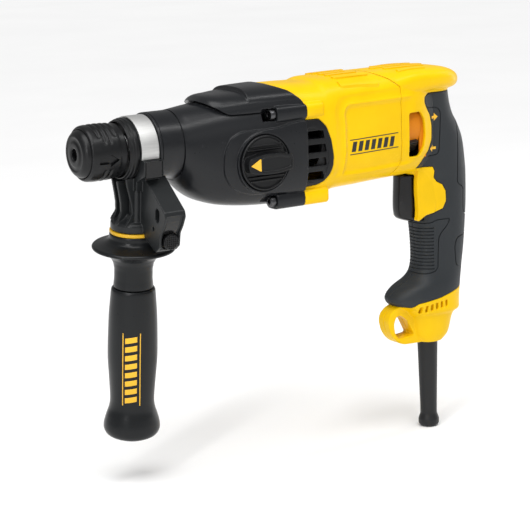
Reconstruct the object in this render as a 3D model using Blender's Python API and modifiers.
"""Rotary hammer, three modes, with side handle: the whole machine as separate solids.

Lengths are millimetres in the machine frame: X runs back from the nose of the dust cap along the
spindle axis, Z is up from that axis and the machine is symmetric about Y = 0 apart from its
knob, slider and depth stop, which are on the -Y side. The side handle has a frame of its own,
turned about the same axis. The helpers turn millimetres into metres.
"""

import math

import bmesh
import bpy
from mathutils import Vector

MM = 0.001
GAP = 0.3

# Driving dimensions
LENGTH = 364.0
SPINDLE_HEIGHT = 271.4
SLEEVE_RADIUS = 21.5
COLLAR_RADIUS = 23.2
BAND_RADIUS = 24.8
BAND_FRONT = 44.8
BAND_REAR = 59.6
NOSE_RADIUS = 26.0
CASE_REAR = 183.5
HOUSING_REAR = 281.0
TOOL_BORE = 5.1
BARREL_BORE = 12.6
ARMATURE_DROP = 6.0
COUNTERSHAFT_DROP = 28.0
HANDLE_TILT = math.radians(7.0)
HANDLE_X = 52.0
KNOB_X = 145.0
KNOB_Z = -18.0
RUBBER = 2.4
PLASTIC = 2.6
CORD_X = 326.0
SLIDER_REST = math.radians(35.5)
WOBBLE_X = 155.0
BALL_X = 20.5
TRIGGER_HALF = 10.8
MOUTH_HALF = 11.6
LOOP_THICKNESS = 15.0
SCREW_THREAD = 2.1
SCREW_HEAD = 4.2
LUG_HALF = 6.6
# Half the play between the two shells, and a thickness or reach that clears the whole machine
HALF_GAP = 0.15
THROUGH = 140.0
SHARP_ANGLE = math.radians(32)

YELLOW = ("housing_yellow", (0.95, 0.66, 0.02), 0.42, 0.0)
BLACK_CASE = ("case_black", (0.055, 0.058, 0.062), 0.38, 0.35)
BLACK_PLASTIC = ("plastic_black", (0.035, 0.036, 0.038), 0.45, 0.0)
RUBBER_BLACK = ("rubber_black", (0.06, 0.063, 0.066), 0.75, 0.0)
BRIGHT_STEEL = ("band_steel", (0.78, 0.78, 0.77), 0.35, 0.6)
DARK_STEEL = ("screw_steel", (0.2, 0.2, 0.21), 0.35, 0.9)
GROUND_STEEL = ("ground_steel", (0.55, 0.55, 0.56), 0.3, 0.95)
COPPER = ("commutator_copper", (0.78, 0.4, 0.25), 0.35, 0.9)
CARBON = ("brush_carbon", (0.04, 0.04, 0.045), 0.8, 0.0)
ALUMINIUM = ("plate_aluminium", (0.72, 0.73, 0.74), 0.4, 0.8)
POINTER_YELLOW = ("pointer_yellow", (0.98, 0.76, 0.1), 0.5, 0.0)


def clear_scene():
    for obj in list(bpy.data.objects):
        bpy.data.objects.remove(obj, do_unlink=True)


clear_scene()
PARTS = bpy.data.collections.new("rotary_hammer")
CUTTERS = bpy.data.collections.new("cutters")
bpy.context.scene.collection.children.link(PARTS)
bpy.context.scene.collection.children.link(CUTTERS)


def finish_of(look):
    name, colour, roughness, metallic = look
    made = bpy.data.materials.get(name)
    if made:
        return made
    made = bpy.data.materials.new(name)
    made.use_nodes = True
    shader = made.node_tree.nodes["Principled BSDF"]
    shader.inputs["Base Color"].default_value = (*colour, 1.0)
    shader.inputs["Roughness"].default_value = roughness
    shader.inputs["Metallic"].default_value = metallic
    return made


def frame(name, at, turn=(0.0, 0.0, 0.0), parent=None):
    """An empty on a joint axis or at a reference point, which carries pieces."""
    empty = bpy.data.objects.new(name, None)
    empty.location = Vector(at) * MM
    empty.rotation_euler = turn
    empty.empty_display_size = 0.02
    empty.parent = parent
    PARTS.objects.link(empty)
    return empty


def place(name, mesh, look, parent, at=(0.0, 0.0, 0.0), turn=(0.0, 0.0, 0.0)):
    """An object in the parts collection, or a cutter where look is None."""
    obj = bpy.data.objects.new(name, mesh)
    obj.location = Vector(at) * MM
    obj.rotation_euler = turn
    obj.parent = parent
    if look is None:
        CUTTERS.objects.link(obj)
        obj.hide_render = True
        obj.display_type = "WIRE"
    else:
        PARTS.objects.link(obj)
        mesh.materials.append(finish_of(look))
    return obj


AXIS_TURN = {
    "X": (0.0, math.pi / 2, 0.0),
    "Y": (-math.pi / 2, 0.0, 0.0),
    "Z": (0.0, 0.0, 0.0),
}


def clockwise(points):
    ends = points[1:] + points[:1]
    area = sum(a[0] * b[1] - b[0] * a[1] for a, b in zip(points, ends))
    return points if area < 0 else points[::-1]


def turned(name, outline, look, parent, axis="X", at=(0.0, 0.0, 0.0), steps=24):
    """A turned piece. The outline is (place along the axis, radius) points, a loop unless it
    starts and ends on the axis."""
    points = clockwise([(radius * MM, along * MM) for along, radius in outline])
    opened = points[0][0] == 0 and points[-1][0] == 0
    mesh = bpy.data.meshes.new(name)
    vertices = [(radius, 0.0, along) for radius, along in points]
    edges = [(i, i + 1) for i in range(len(points) - 1)]
    if not opened:
        edges.append((len(points) - 1, 0))
    mesh.from_pydata(vertices, edges, [])
    obj = place(name, mesh, look, parent, at, AXIS_TURN[axis])
    screw = obj.modifiers.new("turn", "SCREW")
    screw.axis = "Z"
    screw.steps = steps
    screw.render_steps = steps
    screw.use_merge_vertices = True
    screw.merge_threshold = 0.00001
    return obj


def cylinder(name, start, end, radius, look, parent, axis="X", at=(0.0, 0.0, 0.0), steps=20):
    outline = [(start, 0.0), (start, radius), (end, radius), (end, 0.0)]
    return turned(name, outline, look, parent, axis, at, steps)


def block(name, low, high, look, parent, turn=(0.0, 0.0, 0.0)):
    """A box between two corners, which turns about its own middle."""
    low = Vector(low)
    high = Vector(high)
    cube = bmesh.new()
    bmesh.ops.create_cube(cube, size=1.0)
    bmesh.ops.scale(cube, vec=(high - low) * MM, verts=cube.verts)
    mesh = bpy.data.meshes.new(name)
    cube.to_mesh(mesh)
    cube.free()
    return place(name, mesh, look, parent, (low + high) / 2, turn)


def evaluated_mesh(obj):
    bpy.context.view_layer.update()
    graph = bpy.context.evaluated_depsgraph_get()
    return bpy.data.meshes.new_from_object(obj.evaluated_get(graph))


PLANE_TURN = {
    "XZ": (math.pi / 2, 0.0, 0.0),
    "YZ": (math.pi / 2, 0.0, math.pi / 2),
    "XY": (0.0, 0.0, 0.0),
}


def plate(name, outline, middle, thickness, look, parent, plane="XZ"):
    """A flat outline with a thickness, centred on middle along the plane's normal."""
    curve = bpy.data.curves.new(name, "CURVE")
    curve.dimensions = "2D"
    curve.fill_mode = "BOTH"
    curve.extrude = thickness * MM / 2
    spline = curve.splines.new("POLY")
    spline.points.add(len(outline) - 1)
    for point, (across, up) in zip(spline.points, outline):
        point.co = (across * MM, up * MM, 0.0, 1.0)
    spline.use_cyclic_u = True
    offset = {"XZ": (0.0, middle, 0.0), "YZ": (middle, 0.0, 0.0), "XY": (0.0, 0.0, middle)}[plane]
    flat = place(name + "_outline", curve, None, parent, offset, PLANE_TURN[plane])
    mesh = evaluated_mesh(flat)
    welded = bmesh.new()
    welded.from_mesh(mesh)
    bmesh.ops.remove_doubles(welded, verts=welded.verts, dist=0.000001)
    bmesh.ops.recalc_face_normals(welded, faces=welded.faces)
    welded.to_mesh(mesh)
    welded.free()
    mesh.materials.clear()
    obj = place(name, mesh, look, parent, offset, PLANE_TURN[plane])
    bpy.data.objects.remove(flat, do_unlink=True)
    return obj


def loft(name, rings, look, parent):
    """A closed skin through rings of equally many points, with flat ends."""
    skin = bmesh.new()
    rows = [[skin.verts.new(Vector(point) * MM) for point in ring] for ring in rings]
    count = len(rows[0])
    for near, far in zip(rows, rows[1:]):
        for i in range(count):
            j = (i + 1) % count
            skin.faces.new((near[i], near[j], far[j], far[i]))
    skin.faces.new(rows[0])
    skin.faces.new(rows[-1])
    bmesh.ops.recalc_face_normals(skin, faces=skin.faces)
    mesh = bpy.data.meshes.new(name)
    skin.to_mesh(mesh)
    skin.free()
    return place(name, mesh, look, parent)


def rounded(count, half_across, low, high, power):
    """A superellipse as (across, up) points."""
    middle = (low + high) / 2
    half_up = (high - low) / 2
    points = []
    for i in range(count):
        angle = math.tau * (i + 0.5) / count
        c = math.cos(angle)
        s = math.sin(angle)
        across = math.copysign(abs(c) ** (2 / power), c) * half_across
        up = math.copysign(abs(s) ** (2 / power), s) * half_up
        points.append((across, middle + up))
    return points


def body_along_x(name, sections, look, parent, inset=0.0, count=24):
    """Sections are (x, half width, low z, high z, power)."""
    rings = []
    for x, half, low, high, power in sections:
        ring = rounded(count, half - inset, low + inset, high - inset, power)
        rings.append([(x, y, z) for y, z in ring])
    return loft(name, rings, look, parent)


def body_along_z(name, sections, look, parent, inset=0.0, count=18):
    """Sections are (z, front x, rear x, half width), each a rounded shape."""
    rings = []
    for z, front, rear, half in sections:
        ring = rounded(count, half - inset, front + inset, rear - inset, 2.5)
        rings.append([(x, y, z) for y, x in ring])
    return loft(name, rings, look, parent)


def settle(obj):
    """Makes an object's modifiers part of its mesh, and removes the cutters they used."""
    mesh = evaluated_mesh(obj)
    used = [modifier.object for modifier in obj.modifiers if modifier.type == "BOOLEAN"]
    obj.modifiers.clear()
    obj.data = mesh
    for tool in used:
        bpy.data.objects.remove(tool, do_unlink=True)
    return obj


def combine(obj, tool, operation="DIFFERENCE"):
    joined = obj.modifiers.new(tool.name, "BOOLEAN")
    joined.operation = operation
    joined.object = tool
    # The exact solver leaves open edges on the lofted shells
    joined.solver = "MANIFOLD"
    return obj


def cut(obj, *tools):
    for tool in tools:
        combine(obj, tool)
    return settle(obj)


def join(obj, *tools):
    for tool in tools:
        combine(obj, tool, "UNION")
    return settle(obj)


def keep_inside(obj, tool):
    combine(obj, tool, "INTERSECT")
    return settle(obj)


def twin(obj, name, look=None):
    """A copy with its own mesh."""
    return place(name, obj.data.copy(), look, obj.parent, obj.location / MM, obj.rotation_euler)


def smooth_round_pieces():
    """Smooth shading on every piece, with its real edges kept sharp."""
    for obj in PARTS.objects:
        if obj.type == "MESH":
            settle(obj)
            obj.data.shade_smooth()
            obj.data.set_sharp_from_angle(angle=SHARP_ANGLE)


def grown(outline, distance):
    """The outline moved outward, corner by corner, along the two sides' mean normal."""
    ring = clockwise(outline)
    moved = []
    for before, here, after in zip(ring[-1:] + ring[:-1], ring, ring[1:] + ring[:1]):
        first = (Vector(here) - Vector(before)).normalized()
        second = (Vector(after) - Vector(here)).normalized()
        normal_a = Vector((-first.y, first.x))
        normal_b = Vector((-second.y, second.x))
        bisector = (normal_a + normal_b).normalized()
        reach = distance / max(0.5, bisector.dot(normal_a))
        moved.append(tuple(Vector(here) + bisector * reach))
    return moved


def arc(centre, radius, start, end, count):
    """Points on a circle, from one angle in degrees to another."""
    points = []
    for i in range(count):
        angle = math.radians(start + (end - start) * i / (count - 1))
        points.append((centre[0] + radius * math.cos(angle), centre[1] + radius * math.sin(angle)))
    return points


def coil(name, start, end, radius, wire, turns, look, parent, axis="X"):
    curve = bpy.data.curves.new(name, "CURVE")
    curve.dimensions = "3D"
    curve.bevel_depth = wire * MM / 2
    curve.bevel_resolution = 1
    curve.use_fill_caps = True
    spline = curve.splines.new("POLY")
    count = int(turns * 10)
    spline.points.add(count)
    for i, point in enumerate(spline.points):
        angle = math.tau * turns * i / count
        along = start + (end - start) * i / count
        point.co = (radius * math.cos(angle) * MM, radius * math.sin(angle) * MM, along * MM, 1.0)
    return place(name, curve, look, parent, turn=AXIS_TURN[axis])


def gear_outline(teeth, pitch_radius, backlash, phase=0.0):
    """Trapezium teeth as (across, up) points: four points a tooth."""
    module = 2 * pitch_radius / teeth
    tip = pitch_radius + 0.8 * module
    root = pitch_radius - 1.05 * module
    pitch_angle = math.tau / teeth
    at_pitch = pitch_angle / 4 - backlash / (2 * pitch_radius)
    slope = math.tan(math.radians(22.0))
    at_tip = at_pitch - 0.8 * module * slope / pitch_radius
    at_root = at_pitch + 1.05 * module * slope / pitch_radius
    points = []
    for tooth in range(teeth):
        middle = phase + pitch_angle * tooth
        for radius, away in ((root, -at_root), (tip, -at_tip), (tip, at_tip), (root, at_root)):
            points.append((radius * math.cos(middle + away), radius * math.sin(middle + away)))
    return points


machine = frame("machine_frame", (-LENGTH / 2, 0.0, SPINDLE_HEIGHT))
spindle_frame = frame("spindle_axis", (0, 0, 0), parent=machine)
armature_frame = frame("armature_axis", (0, 0, -ARMATURE_DROP), parent=machine)
countershaft_frame = frame("countershaft_axis", (0, 0, -COUNTERSHAFT_DROP), parent=machine)
wobble_frame = frame("wobble_axis", (WOBBLE_X, 0, -COUNTERSHAFT_DROP), parent=machine)
knob_frame = frame("mode_knob_axis", (KNOB_X, 0, KNOB_Z), parent=machine)
handle_frame = frame("side_handle_axis", (HANDLE_X, 0, 0), (HANDLE_TILT, 0, 0), machine)


def chuck():
    """What turns at the front: dust cap, sleeves, balls, spring and the spindle itself."""
    turned(
        "dust_cap",
        [(0, 5.4), (0, 10), (1.4, 14), (3.2, 17), (5.4, 18.4), (9, 18.4), (9, 10.6), (4, 10.6), (4, 5.4)],
        RUBBER_BLACK,
        spindle_frame,
    )
    turned(
        "lock_sleeve",
        [
            (5.4, 18.8), (6.6, 20.9), (15.5, SLEEVE_RADIUS), (17.2, 20.6), (19, SLEEVE_RADIUS),
            (28, SLEEVE_RADIUS), (30, 22.4), (35.2, 22.4), (35.2, 14.3), (27, 14.3), (27, 12.2),
            (17.4, 12.2), (17.4, 18.8),
        ],
        BLACK_PLASTIC,
        spindle_frame,
    )
    turned(
        "sleeve_ring",
        [
            (35.8, 22.9), (35.8, 23.7), (37.6, 23.7), (38.2, 24), (43.5, 24), (43.5, 10.6), (43.1, 10.6),
            (43.1, 22.9),
        ],
        BLACK_PLASTIC,
        spindle_frame,
    )
    coil("locking_spring", 29.0, 41.5, 12.2, 1.6, 3.5, GROUND_STEEL, spindle_frame)
    spindle = turned(
        "spindle",
        [
            (4.4, TOOL_BORE), (4.4, 10.2), (43.8, 10.2), (43.8, 14), (74.5, 14), (74.5, 15.2), (140, 15.2),
            (140, BARREL_BORE), (74, BARREL_BORE), (74, 9.2), (44.5, 9.2), (44.5, TOOL_BORE),
        ],
        GROUND_STEEL,
        spindle_frame,
        steps=20,
    )
    pocket = cylinder("ball_pocket", -16, 16, 3.9, None, spindle_frame, "Z", (BALL_X, 0, 0), 12)
    cut(spindle, pocket)
    for name, side in (("locking_ball_upper", 1), ("locking_ball_lower", -1)):
        ball = bmesh.new()
        bmesh.ops.create_uvsphere(ball, u_segments=10, v_segments=6, radius=3.5 * MM)
        mesh = bpy.data.meshes.new(name)
        ball.to_mesh(mesh)
        ball.free()
        place(name, mesh, GROUND_STEEL, spindle_frame, (BALL_X, 0, side * 8.2))


def spur_gear(name, teeth, pitch_radius, bore, start, end, look, parent, phase=0.0):
    """A gear on the X axis of its parent, with a round bore."""
    outline = gear_outline(teeth, pitch_radius, 0.5, phase)
    gear = plate(name, outline, (start + end) / 2, end - start, look, parent, "YZ")
    cut(gear, cylinder(name + "_bore", start - 1, end + 1, bore, None, parent, steps=16))
    return gear


def hammer_drive():
    """Spindle gear, piston, ram and beat piece inside the barrel."""
    spur_gear("spindle_gear", 30, 20.0, 15.5, 104.5, 113.5, GROUND_STEEL, spindle_frame)
    turned(
        "beat_piece",
        [(46, 0), (46, 4.6), (54, 4.6), (54, 8.8), (68, 8.8), (68, 6), (76, 6), (76, 0)],
        GROUND_STEEL,
        machine,
        steps=12,
    )
    cylinder("ram", 82, 100, 12.3, GROUND_STEEL, machine, steps=16)
    piston = turned(
        "piston",
        [(112, 12.3), (112, 9.5), (134, 9.5), (134, 0), (146, 0), (146, 12.3)],
        ALUMINIUM,
        machine,
        steps=16,
    )
    tail = block("piston_tail", (145, -8, 0.5), (161, 8, 6), None, machine)
    join(piston, tail)
    eye = cylinder("piston_eye", -6, 6, 3.9, None, machine, "Z", (WOBBLE_X, 0, 0), 12)
    cut(piston, eye)


def countershaft():
    cylinder("countershaft", 96, 174.5, 5.0, GROUND_STEEL, countershaft_frame, steps=12)
    spur_gear("countershaft_pinion", 12, 8.0, 5.3, 104.5, 113.5, GROUND_STEEL, countershaft_frame)
    spur_gear("countershaft_gear", 40, 17.6, 5.3, 166.5, 172.0, GROUND_STEEL, countershaft_frame)
    turned(
        "wobble_hub",
        [(149, 5.3), (149, 8), (152, 10), (158, 10), (161, 8), (161, 5.3)],
        GROUND_STEEL,
        countershaft_frame,
        steps=12,
    )
    turned(
        "clutch_sleeve",
        [(121, 5.3), (121, 10), (125, 10), (125, 8), (129, 8), (129, 10), (133, 10), (133, 5.3)],
        GROUND_STEEL,
        countershaft_frame,
        steps=12,
    )
    ring = turned(
        "wobble_plate",
        [(-3.6, 12.2), (-3.6, 14.8), (3.6, 14.8), (3.6, 12.2)],
        GROUND_STEEL,
        wobble_frame,
        steps=16,
    )
    finger = cylinder("wobble_finger", 14, 34.5, 2.6, None, wobble_frame, "Z", steps=12)
    join(ring, finger)
    turned(
        "countershaft_front_bearing",
        [(96.5, 5.3), (96.5, 9.5), (102.5, 9.5), (102.5, 5.3)],
        GROUND_STEEL,
        countershaft_frame,
        steps=12,
    )


def motor():
    """Armature on its own axis, the stator, the bearings and the plates that hold them."""
    shaft = cylinder("armature_shaft", 166.5, 309, 4.0, GROUND_STEEL, armature_frame, steps=12)
    teeth = gear_outline(10, 4.4, 0.5, math.pi / 2 + math.pi / 10)
    pinion = plate("armature_pinion", teeth, 169.75, 6.5, None, armature_frame, "YZ")
    relief_outline = [(150, 2.6), (150, 9), (176, 9), (176, 2.6)]
    cut(shaft, turned("pinion_relief", relief_outline, None, armature_frame, steps=12))
    join(shaft, pinion)
    core_outline = [(222, 4.3), (222, 19.6), (266, 19.6), (266, 4.3)]
    turned("armature_core", core_outline, DARK_STEEL, armature_frame, steps=20)
    commutator_outline = [(286, 4.3), (286, 11), (300, 11), (300, 4.3)]
    turned("commutator", commutator_outline, COPPER, armature_frame, steps=16)
    stator_outline = [(220, 20.6), (220, 30.5), (268, 30.5), (268, 20.6)]
    turned("stator_core", stator_outline, DARK_STEEL, armature_frame, steps=20)
    bearings = (("armature_front_bearing", 175.5, 10.8), ("armature_rear_bearing", 302.5, 9.0))
    for name, start, outer in bearings:
        bearing_outline = [(start, 4.3), (start, outer), (start + 6, outer), (start + 6, 4.3)]
        turned(name, bearing_outline, GROUND_STEEL, armature_frame, steps=16)
    front_sections = [(x, 34.4, -51.6, 30.8, 2.8) for x in (175.2, 181.0)]
    front_plate = body_along_x("bearing_plate", front_sections, ALUMINIUM, machine)
    cut(front_plate, cylinder("front_bearing_seat", 170, 190, 11.2, None, armature_frame))
    rear_sections = [(x, 19, -36, 24, 3) for x in (302.6, 307.4)]
    rear_plate = body_along_x("rear_bearing_plate", rear_sections, BLACK_PLASTIC, machine)
    cut(rear_plate, cylinder("rear_bearing_seat", 298, 312, 9.4, None, armature_frame))


def cooling_fan():
    fan = turned(
        "cooling_fan",
        [(190, 4.3), (190, 8), (201, 8), (203, 29.5), (204.5, 29.5), (204.5, 4.3)],
        BLACK_PLASTIC,
        armature_frame,
        steps=16,
    )
    blades = []
    blade_count = 8
    for i in range(blade_count):
        angle = math.tau * i / blade_count
        blade = block(f"fan_blade_{i}", (192, 7, -0.8), (203.8, 27, 0.8), None, armature_frame)
        blade.location = Vector((197.9, 17 * math.cos(angle), 17 * math.sin(angle))) * MM
        blade.rotation_euler = (angle, 0, 0)
        blades.append(blade)
    join(fan, *blades)


def brush_gear():
    """The ring that carries the brushes, and the slider that swings it for forward and reverse."""
    turned("brush_ring", [(288, 20.2), (288, 26), (300, 26), (300, 20.2)], BLACK_PLASTIC, armature_frame)
    for name, side in (("brush_left", -1), ("brush_right", 1)):
        low = (290, min(side * 11.5, side * 19.5), -3.5)
        high = (298, max(side * 11.5, side * 19.5), 3.5)
        block(name, low, high, CARBON, armature_frame)
    outer = arc((0, 0), 33.0, -8, 8, 5)
    inner = arc((0, 0), 26.5, 8, -8, 4)
    c = math.cos(math.pi + SLIDER_REST)
    s = math.sin(math.pi + SLIDER_REST)
    outline = [(across * c - up * s, across * s + up * c) for across, up in outer + inner]
    plate("reverse_slider", outline, 297, 11.6, BLACK_PLASTIC, armature_frame, "YZ")


CASE_SECTIONS = [
    (60.2, NOSE_RADIUS, -NOSE_RADIUS, NOSE_RADIUS, 2.0),
    (79, NOSE_RADIUS, -NOSE_RADIUS, NOSE_RADIUS, 2.0),
    (84, 26.4, -32, 26.4, 2.1),
    (90, 27.6, -38.5, 27, 2.3),
    (98, 29, -44.5, 27.8, 2.5),
    (107, 30.4, -48.6, 28.6, 2.7),
    (118, 32, -51.8, 29.5, 2.9),
    (135, 34.3, -54.4, 31, 3.0),
    (155, 36.4, -55.8, 32, 3.1),
    (190, 38.4, -56, 33, 3.2),
]
HUMP_SECTIONS = [
    (100, 8, 4, 26.6, 2.0),
    (107, 16, 4, 31.4, 2.2),
    (112, 21.5, 4, 33.8, 2.4),
    (123, 26.5, 4, 34.6, 2.8),
    (134, 29.5, 4, 35.2, 3.0),
    (138.5, 30.5, 4, 38.6, 3.2),
    (190, 34, 4, 38.9, 3.2),
]
# The rear edge of the gear case in side view, which the motor housing follows
CASE_EDGE = [
    (158, 45), (165, 38.5), (174, 34.5), (182, 27.5), (185.5, 22), (185.5, 14), (CASE_REAR, 10),
    (CASE_REAR, -70),
]
# Where the four case screws run: half their spacing across, and their height
SCREW_ROWS = [(32.0, 17.5), (28.5, -51.0)]


def screw_places():
    for y, z in SCREW_ROWS:
        for side in (-1, 1):
            yield side * y, z


def lug(name, start, end, y, z):
    """A squared lug about a case screw, which runs into the wall inward of it."""
    outer = math.copysign(1, y)
    inner_face = y - outer * 2 * LUG_HALF
    outer_face = y + outer * 0.85 * LUG_HALF
    low = (start, min(inner_face, outer_face), z - LUG_HALF)
    high = (end, max(inner_face, outer_face), z + LUG_HALF)
    return block(name, low, high, None, machine)


def gear_case():
    case = body_along_x("gear_case", CASE_SECTIONS, BLACK_CASE, machine)
    hump = body_along_x("case_hump", HUMP_SECTIONS, None, machine)
    collar = cylinder("case_collar", 44.2, 62, COLLAR_RADIUS, None, machine, steps=28)
    lugs = [lug(f"case_lug_{i}", 158, 190, y, z) for i, (y, z) in enumerate(screw_places())]
    boss = cylinder("knob_boss", 28, 37.2, 23.5, None, machine, "Y", (KNOB_X, -65.2, KNOB_Z), 28)
    join(case, hump, collar, boss, *lugs)
    behind = CASE_EDGE + [(230, -70), (230, 45)]
    rear = plate("case_rear_cut", behind, 0, THROUGH, None, machine)
    cavity_sections = [
        (76, 21, -21, 21, 2.0),
        (90, 24.2, -34, 24, 2.3),
        (107, 27.2, -45, 25.6, 2.7),
        (135, 30.2, -51.2, 28, 3.0),
        (172, 34.8, -53, 31.2, 3.2),
        (192, 34.8, -53, 31.2, 3.2),
    ]
    cavity = body_along_x("case_cavity", cavity_sections, None, machine, count=16)
    bore = turned(
        "nose_bore",
        [(40, 0), (40, 20), (57.5, 20), (57.5, 21), (78, 21), (78, 0)],
        None,
        machine,
    )
    knob_recess = cylinder("knob_recess", 0, 30, 22.1, None, machine, "Y", (KNOB_X, -64.0, KNOB_Z), 28)
    knob_hole = cylinder("knob_hole", 0, 20, 6.4, None, machine, "Y", (KNOB_X, -42, KNOB_Z), 16)
    cut(case, rear, cavity, bore, knob_recess, knob_hole)
    tools = []
    for i, (y, z) in enumerate(screw_places()):
        at = (0, y, z)
        tools.append(cylinder(f"head_pocket_{i}", 140, 158, SCREW_HEAD + 0.7, None, machine, "X", at, 14))
        tools.append(cylinder(f"screw_hole_{i}", 157, 200, SCREW_THREAD + GAP, None, machine, "X", at, 10))
    cut(case, *tools)
    for i, (y, z) in enumerate(screw_places()):
        turned(
            f"case_screw_{i + 1}",
            [
                (153, 2.0), (153, SCREW_HEAD), (157.6, SCREW_HEAD), (157.6, SCREW_THREAD),
                (196, SCREW_THREAD), (196, 0), (155.6, 0), (155.6, 2.0),
            ],
            DARK_STEEL,
            machine,
            at=(0, y, z),
            steps=12,
        )


def bearings_in_nose():
    bearing_outline = [(60, 14.4), (60, 20.6), (72, 20.6), (72, 14.4)]
    turned("spindle_bearing", bearing_outline, GROUND_STEEL, machine, steps=20)
    seal_outline = [(47, 14.4), (47, 19.6), (54, 19.6), (54, 14.4)]
    turned("spindle_seal", seal_outline, RUBBER_BLACK, machine, steps=20)


def mode_knob():
    """Turns about Y. The bar points forward, to hammer drilling."""
    knob = turned(
        "mode_knob",
        [(-26, 0), (-26, 6), (-34.5, 6), (-34.5, 21.6), (-38.2, 21.6), (-39, 20.8), (-39, 0)],
        BLACK_PLASTIC,
        knob_frame,
        "Y",
    )
    bar_outline = [(-19, -4), (-16, -7.5), (16, -6.5), (20.4, -5), (20.4, 5), (16, 6.5), (-16, 7.5), (-19, 4)]
    bar = plate("knob_bar", bar_outline, -42.2, 9.0, None, knob_frame)
    join(knob, bar)
    plate("mode_pointer", [(-18, 0), (-9.5, 4.8), (-9.5, -4.8)], -47.4, 0.8, POINTER_YELLOW, knob_frame)


VENT = [
    (CASE_REAR + 0.4, 10.6), (196.5, 10.4), (202.6, 4.3), (207, -7), (209, -20), (208.5, -28), (206, -34),
    (201, -39.4), (196, -41.6), (CASE_REAR + 0.4, -43),
]
MOTOR_SECTIONS = [
    (156, 32, -54, 38.8, 3.2),
    (184, 36, -54, 38.2, 3.3),
    (203, 37.4, -54, 37.6, 3.4),
    (208, 37.5, -53.5, 39.4, 3.4),
    (218, 37, -50.6, 39.6, 3.5),
    (240, 36, -49.6, 39.8, 3.6),
    (270, 33.6, -48.4, 40, 3.6),
    (300, 31.4, -47.8, 40.2, 3.5),
]
# The seam between motor housing and handle in side view
HANDLE_EDGE = [(249, 45), (258, 41), (272, 34), (HOUSING_REAR, 27), (HOUSING_REAR, -32), (268, -52)]


def motor_housing():
    shell = body_along_x("motor_housing", MOTOR_SECTIONS, YELLOW, machine)
    bosses = [lug(f"boss_{i}", 178, 207, y, z) for i, (y, z) in enumerate(screw_places())]
    join(shell, *bosses)
    ahead = grown([(100, 60)] + CASE_EDGE + [(100, -70)], GAP)
    behind = HANDLE_EDGE + [(400, -52), (400, 45)]
    front_cut = plate("housing_front_cut", ahead, 0, THROUGH, None, machine)
    rear_cut = plate("housing_rear_cut", behind, 0, THROUGH, None, machine)
    inner = [(140, *MOTOR_SECTIONS[0][1:]), *MOTOR_SECTIONS[1:], (320, *MOTOR_SECTIONS[-1][1:])]
    cavity = body_along_x("housing_cavity", inner, None, machine, PLASTIC, 20)
    vent = plate("vent_window", grown(VENT, GAP), 0, THROUGH, None, machine)
    cut(shell, front_cut, rear_cut, cavity, vent)
    holes = []
    for i, (y, z) in enumerate(screw_places()):
        at = (0, y, z)
        holes.append(cylinder(f"boss_hole_{i}", 170, 198, SCREW_THREAD + 0.4, None, machine, "X", at, 10))
    cut(shell, *holes)


def vent_grilles():
    sections = [(x, half + 0.7, low, high, power) for x, half, low, high, power in MOTOR_SECTIONS]
    slots = [(1.2, -4.6), (-9.7, -15.7), (-20.6, -26.8), (-31.5, -37.6)]
    for name, side in (("vent_grille_left", -1), ("vent_grille_right", 1)):
        grille = body_along_x(name, sections, BLACK_PLASTIC, machine)
        cut(grille, body_along_x("grille_back", sections, None, machine, 3.6))
        keep_inside(grille, plate("grille_outline", VENT, side * 40, 60, None, machine))
        tools = []
        for i, (top, bottom) in enumerate(slots):
            tools.append(block(f"vent_slot_{i}", (187.0, -60, bottom), (201.0, 60, top), None, machine))
        cut(grille, *tools)


BODY_SECTIONS = [
    (244, 35.7, -49.4, 39.8, 3.6),
    (270, 33.6, -48.4, 40, 3.6),
    (290, 32, -48, 40.2, 3.5),
    (303, 29.5, -47.6, 40.2, 3.3),
    (311, 26.5, -47, 40, 3.0),
    (318, 24, -46, 39.6, 2.8),
]
CAP_SECTIONS = [
    (300, 30.2, 14, 40.4, 3.0),
    (318, 28.6, 18.2, 39.9, 3.0),
    (330, 26.4, 18.6, 38.8, 2.9),
    (340, 23.0, 18.8, 37.2, 2.7),
    (347, 18.6, 19.2, 35.2, 2.5),
    (352, 13.0, 20.6, 32.8, 2.3),
    (355.2, 6.0, 23.2, 30.2, 2.0),
]
GRIP_SECTIONS = [
    (24, 302, 342.5, 23),
    (10, 302, 344.5, 23),
    (-1, 301, 348, 23),
    (-10, 300, 353.5, 22.8),
    (-24, 300, 359.6, 22),
    (-46, 300, 363.4, 20.4),
    (-56, 307.5, 364, 19.2),
    (-76, 309, 364.2, 18.2),
    (-90, 312, 363.4, 17.6),
    (-115, 314, 361.2, 17.0),
    (-132, 312.8, 358.6, 17.2),
    (-140, 306.8, 357.6, 18),
    (-147, 293.3, 356.8, 19.4),
    (-154, 286.6, 356.2, 20),
    (-160, 289, 355.6, 20),
    (-165, 298, 354.6, 19.9),
    (-172, 303, 351, 19.4),
    (-182, 306, 345.5, 18.2),
    (-190, 309, 342.5, 16.6),
    (-195, 314, 337, 14.5),
]
RUBBER_OUTLINE = [
    (375, 18.6), (313, 18.6), (307.5, 16), (307, 12), (309.5, 7), (313.5, 1.5), (316, -8), (316, -20),
    (312.5, -29), (306, -35), (301, -42.5), (320, -43.2), (322, -47), (322.2, -53), (325, -56.5),
    (330.5, -59.5), (334.4, -65.5), (334.6, -75), (331.5, -80.5), (324, -83), (314, -84.6), (307, -88.4),
    (301, -89.6), (280, -89.6), (270, -157), (284, -160), (299.5, -161.4), (304.5, -158.4), (325, -156),
    (344, -152), (375, -146),
]
WINDOW = ((289.6, -31.0), (304.2, 6.0))
# The walls of the handle that stand beside the trigger
CHEEK_OUTLINE = [
    (306.5, -43), (305.4, -60), (306.4, -78), (303.6, -85), (301, -88.2), (318, -88.4), (324, -82),
    (324, -43),
]
CHEEK_INNER = 11.8
CHEEK_THICKNESS = 5.6


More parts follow.
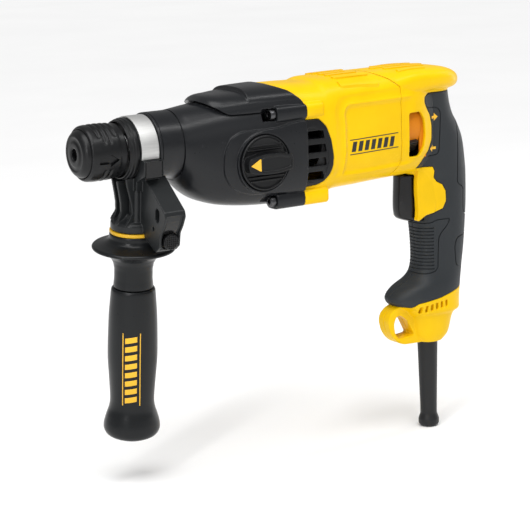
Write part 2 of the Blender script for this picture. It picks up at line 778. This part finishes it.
def handle_core(name, inset):
    """The handle's shape without its cap, base loop or skin."""
    core = body_along_x(name, BODY_SECTIONS, None, machine, inset)
    return join(core, body_along_z(name + "_grip", GRIP_SECTIONS[:-1], None, machine, inset))


def handle():
    """The clamshell with its base and hook loop, the rubber on it, and their cavity."""
    body = body_along_x("handle_body", BODY_SECTIONS, None, machine)
    grip = body_along_z("handle_grip", GRIP_SECTIONS, None, machine)
    join(body, grip)
    rubber = twin(body, "grip_rubber_whole")
    cut(rubber, handle_core("rubber_inside", RUBBER))
    keep_inside(rubber, plate("rubber_region", RUBBER_OUTLINE, 0, THROUGH, None, machine))

    shell = twin(body, "handle_shell_whole")
    cap = body_along_x("handle_cap", CAP_SECTIONS, None, machine)
    loop_outline = [
        (297, -159.5), (287.4, -162.4), (281.8, -167), (280.2, -173), (282.2, -181.6), (285.8, -187.6),
        (291.5, -192.6), (297, -194.4), (316, -195), (320, -176), (318, -162),
    ]
    loop = plate("hook_loop", loop_outline, 0, LOOP_THICKNESS, None, machine)
    hole_outline = [(287.5, -176), (290.5, -171.5), (302, -174), (307, -188), (293, -189), (288.5, -184)]
    loop_hole = plate("hook_loop_hole", hole_outline, 0, THROUGH, None, machine)
    cheeks = []
    for side in (-1, 1):
        middle = side * (CHEEK_INNER + CHEEK_THICKNESS / 2)
        cheeks.append(plate(f"cheek_{side}", CHEEK_OUTLINE, middle, CHEEK_THICKNESS, None, machine))
    join(shell, cap, loop, *cheeks)
    region = plate("rubber_region_grown", grown(RUBBER_OUTLINE, GAP), 0, THROUGH, None, machine)
    cut(region, handle_core("rubber_seat", RUBBER + GAP))
    hollow = [(230, *BODY_SECTIONS[0][1:]), *BODY_SECTIONS]
    cavity = body_along_x("body_cavity", hollow, None, machine, PLASTIC + 0.4, 16)
    wall = RUBBER + PLASTIC
    inner = [(z, front + wall, rear - wall, half - wall) for z, front, rear, half in GRIP_SECTIONS[1:-2:2]]
    inner = [(z, max(front, 310 if z < -160 else front), rear, half) for z, front, rear, half in inner]
    grip_cavity = body_along_z("grip_cavity", inner, None, machine, count=12)
    ahead = grown([(200, 60)] + HANDLE_EDGE + [(268, -70), (200, -70)], GAP)
    seam = plate("handle_front_cut", ahead, 0, THROUGH, None, machine)
    mouth = block("trigger_mouth", (280, -MOUTH_HALF, -91), (330, MOUTH_HALF, -49.4), None, machine)
    cord_hole = turned(
        "cord_hole",
        [(-200, 0), (-200, 9.0), (-188.6, 9.0), (-188.6, 11.0), (-160, 11.0), (-160, 0)],
        None,
        machine,
        "Z",
        (CORD_X, 0, 0),
    )
    cut(shell, region, cavity, grip_cavity, seam, mouth, loop_hole, cord_hole)
    slots = []
    for i in range(6):
        x = 305.5 + i * 5.4
        z = -166.2 + i * 0.85
        slots.append(block(f"base_slot_{i}", (x - 0.9, -40, z - 4), (x + 0.9, 40, z + 4), None, machine))
    cut(shell, *slots)
    cut(rubber, block("rubber_mouth", (270, -MOUTH_HALF, -89.5), (330, MOUTH_HALF, -40), None, machine))
    return shell, rubber


def half_of(whole, name, side, look):
    """One half of a piece, a hair back from the middle plane."""
    keep = block("half_space", (200, HALF_GAP, -320), (420, 90, 120), None, machine)
    if side < 0:
        keep.location.y = -keep.location.y
    half = twin(whole, name, look)
    keep_inside(half, keep)
    return half


def handle_pieces():
    shell, rubber = handle()
    left = half_of(shell, "handle_shell_left", -1, YELLOW)
    right = half_of(shell, "handle_shell_right", 1, YELLOW)
    half_of(rubber, "grip_rubber_left", -1, RUBBER_BLACK)
    half_of(rubber, "grip_rubber_right", 1, RUBBER_BLACK)
    (x0, z0), (x1, z1) = WINDOW
    cut(left, block("slider_window", (x0, -50, z0), (x1, -20, z1), None, machine))
    holes = []
    # Each screw's place in side view, and where its head stands on the far side
    for i, (x, z, face) in enumerate(((291, 28, 29.0), (294, -41, 26.0), (341, -171, 17.6))):
        at = (x, 0, z)
        holes.append(cylinder(f"handle_screw_hole_{i}", 5, 60, 1.9, None, machine, "Y", at, 10))
        holes.append(cylinder(f"handle_screw_pocket_{i}", face, 60, 3.7, None, machine, "Y", at, 12))
        turned(
            f"handle_screw_{i + 1}",
            [(4, 0), (4, 1.5), (face + 0.3, 1.5), (face + 0.3, 3.3), (face + 2.2, 3.3), (face + 2.2, 0)],
            DARK_STEEL,
            machine,
            "Y",
            at,
            12,
        )
    cut(right, *holes)
    for helper in (shell, rubber):
        bpy.data.objects.remove(helper, do_unlink=True)


def trigger():
    outline = [
        (296.2, -52), (299, -50.2), (319.5, -50.2), (319.5, -88.6), (304, -89), (299.2, -87.2),
        (296.2, -82.8), (295.4, -76), (295.2, -60),
    ]
    body = plate("trigger", outline, 0, 2 * TRIGGER_HALF, BLACK_PLASTIC, machine)
    edge = body.modifiers.new("edge", "BEVEL")
    edge.width = 1.6 * MM
    edge.segments = 2
    edge.limit_method = "ANGLE"
    edge.angle_limit = math.radians(50)
    block("switch_module", (327, -9, -92), (352, 9, -52), BLACK_PLASTIC, machine)


def cord_guard():
    turned(
        "cord_guard",
        [
            (-184, 10.6), (-188.2, 10.6), (-188.2, 8.6), (-199, 8.6), (-254, 6.0), (-260, 6.4), (-264.5, 8.2),
            (-268, 8.3), (-271.4, 6.2), (-271.4, 3.7), (-184, 3.7),
        ],
        RUBBER_BLACK,
        machine,
        "Z",
        (CORD_X, 0, 0),
        24,
    )


BRACKET_X = (-7.6, 9.4)
SADDLE = [
    (-29, -4), (-29, -15.5), (-17, -22), (-17, -30), (17, -30), (17, -22), (29, -15.5), (29, -4),
]
DEPTH_BOX = [
    (-17, -17.8), (-50.2, -38.8), (-51.8, -43), (-48.6, -51), (-44.4, -58), (-43.6, -68), (-38, -73),
    (-33, -71.4), (-19.6, -65.8), (-19.6, -63.6), (-4, -60), (-4, -30), (-16, -19),
]
BUTTON_AT = (7.5, 0, -64)


def side_handle_clamp():
    """The steel band round the collar and the bracket that it pulls against, in the handle's frame."""
    front = BAND_FRONT - HANDLE_X
    rear = BAND_REAR - HANDLE_X
    inside = COLLAR_RADIUS + 0.4
    band_outline = [(front, inside), (front, BAND_RADIUS), (rear, BAND_RADIUS), (rear, inside)]
    band = turned("clamp_band", band_outline, BRIGHT_STEEL, handle_frame, steps=36)
    cut(band, block("band_gap", (-20, -40, -40), (20, 40, -3.6), None, handle_frame))
    middle = sum(BRACKET_X) / 2
    width = BRACKET_X[1] - BRACKET_X[0]
    bracket = plate("handle_bracket", SADDLE, middle, width, BLACK_PLASTIC, handle_frame, "YZ")
    column = turned(
        "bracket_column",
        [
            (-26, 0), (-26, 16.2), (-31, 15.2), (-36, 13.8), (-42, 12.8), (-47, 12.4), (-51, 13.2),
            (-54.6, 16.2), (-57.4, 18.1), (-63.9, 18.1), (-63.9, 0),
        ],
        None,
        handle_frame,
        "Z",
    )
    box = plate("depth_stop_box", DEPTH_BOX, 7, 18, None, handle_frame, "YZ")
    join(bracket, column, box)
    tools = [
        cylinder("collar_seat", -20, 24, COLLAR_RADIUS + 0.5, None, handle_frame, steps=36),
        cylinder("nose_clearance", 7.9, 24, NOSE_RADIUS + 0.7, None, handle_frame, steps=36),
        cylinder("bolt_hole", -70, -30, 4.4, None, handle_frame, "Z", steps=14),
        cylinder("bolt_pocket", -38, -10, 8.2, None, handle_frame, "Z", steps=16),
        block("depth_window", (-0.4, -60, -51), (14.4, -45.4, -42), None, handle_frame),
        cylinder("button_pocket", -60, -36.5, 7.0, None, handle_frame, "Y", BUTTON_AT, 20),
    ]
    rod = arc((-39.2, -41.6), 3.2, 0, 180, 7) + arc((-39.2, -45.6), 3.2, 180, 360, 7)
    tools.append(plate("depth_rod_hole", rod, 7, 40, None, handle_frame, "YZ"))
    for i, y in enumerate((-9.0, -3.0, 3.0, 9.0)):
        low = (-30, y - 1.3, -54.5)
        high = (-10.4, y + 1.3, -29)
        tools.append(block(f"fin_gap_{i}", low, high, None, handle_frame))
    cut(bracket, *tools)
    button_outline = [(-45.4, 0), (-45.4, 6.0), (-44.6, 6.6), (-41, 6.6), (-41, 0)]
    turned("depth_stop_button", button_outline, BLACK_PLASTIC, handle_frame, "Y", BUTTON_AT, 20)
    ring_outline = [(-64.3, 5), (-64.3, 18.8), (-68.4, 18.9), (-68.4, 5)]
    turned("collar_ring", ring_outline, YELLOW, handle_frame, "Z")
    bolt_outline = [(-31, 0), (-31, 7.6), (-36, 7.6), (-36, 4.0), (-150, 4.0), (-150, 0)]
    turned("draw_bolt", bolt_outline, DARK_STEEL, handle_frame, "Z", steps=14)


def side_grip():
    turned(
        "side_grip_core",
        [
            (-68.8, 19), (-72, 19.4), (-75, 23), (-77, 31), (-78.4, 32.6), (-80.2, 32), (-82.5, 24),
            (-88, 17.2), (-95, 15), (-104, 15), (-111.2, 15.6), (-111.2, 11), (-226, 11), (-226, 4.5),
            (-68.8, 4.5),
        ],
        BLACK_PLASTIC,
        handle_frame,
        "Z",
    )
    turned(
        "side_grip_rubber",
        [
            (-111.6, 17), (-114, 17.5), (-135, 19), (-156, 19.6), (-169, 19.6), (-188, 18.3), (-206, 17.5),
            (-216, 19.8), (-225, 22.2), (-229, 22.2), (-233.6, 19.8), (-237, 13), (-238.4, 0), (-227, 0),
            (-227, 11.4), (-111.6, 11.4),
        ],
        RUBBER_BLACK,
        handle_frame,
        "Z",
    )


chuck()
hammer_drive()
countershaft()
motor()
cooling_fan()
brush_gear()
gear_case()
bearings_in_nose()
mode_knob()
motor_housing()
vent_grilles()
handle_pieces()
trigger()
cord_guard()
side_handle_clamp()
side_grip()
smooth_round_pieces()
